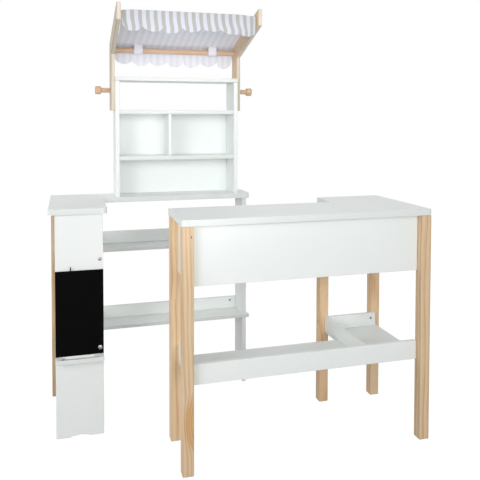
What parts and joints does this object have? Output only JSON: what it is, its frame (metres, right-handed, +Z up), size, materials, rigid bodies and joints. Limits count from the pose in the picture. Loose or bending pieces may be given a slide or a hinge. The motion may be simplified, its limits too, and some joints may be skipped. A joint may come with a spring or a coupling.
{
  "type": "wooden play shop set",
  "caption": "White and pine child's play set: an L-shaped counter and a matching stand with an open shelf hutch, chalkboard, coat pegs and a striped cloth awning.",
  "frame": {"origin": "on the floor, under the middle of the pair's bounding box", "axes": "+Z up; the front, where a customer stands, is -Y; +X is to the right seen from the front"},
  "size_m": [0.953, 0.5306, 1.1332],
  "materials": {
    "lacquer": "satin white lacquer on fibreboard",
    "pine": "clear-lacquered pine",
    "beech": "clear-lacquered beech",
    "chalkboard": "matt black chalkboard paint on fibreboard",
    "steel": "bright zinc plating",
    "cotton": "woven cotton, grey and white stripes",
    "webbing": "white cotton tape"
  },
  "bodies": {
    "root": {"counter_worktop": "lacquer", "counter_apron_front": "lacquer", "counter_apron_left": "lacquer", "counter_apron_right": "lacquer", "counter_lip_front": "lacquer", "counter_rail_left": "lacquer", "counter_rail_middle": "lacquer", "counter_rail_back": "lacquer", "counter_shelf": "lacquer", "stand_worktop": "lacquer", "stand_panel": "lacquer", "stand_post": "lacquer", "stand_chalk_ledge": "lacquer", "stand_shelf_upper": "lacquer", "stand_shelf_lower": "lacquer", "stand_rail_upper_rear": "lacquer", "stand_rail_upper_side": "lacquer", "stand_rail_lower_rear": "lacquer", "stand_rail_lower_side": "lacquer", "hutch_side_left": "lacquer", "hutch_side_right": "lacquer", "hutch_top": "lacquer", "hutch_shelf_upper": "lacquer", "hutch_shelf_lower": "lacquer", "hutch_divider": "lacquer", "hutch_back": "lacquer", "counter_leg_front_left": "pine", "counter_leg_front_right": "pine", "counter_leg_back_left": "pine", "counter_leg_back_middle": "pine", "counter_leg_back_right": "pine", "stand_leg_left": "pine", "awning_arm_left": "pine", "awning_arm_right": "pine", "peg_left": "beech", "peg_right": "beech", "awning_dowel_front": "beech", "awning_dowel_rear": "beech", "stand_chalkboard": "chalkboard", "screw_apron_upper": "steel", "screw_apron_lower": "steel", "screw_lip": "steel", "screw_rail_middle": "steel", "screw_rail_back": "steel", "screw_rail_rear": "steel", "screw_post_front": "steel", "screw_post_rear": "steel", "screw_panel": "steel", "screw_chalkboard": "steel", "screw_hutch_1": "steel", "screw_hutch_2": "steel", "screw_hutch_3": "steel", "stand_hook": "steel", "awning_cloth": "cotton", "strap_front_left": "webbing", "strap_front_right": "webbing", "strap_rear_left": "webbing", "strap_rear_right": "webbing"}
  },
  "joints": []
}
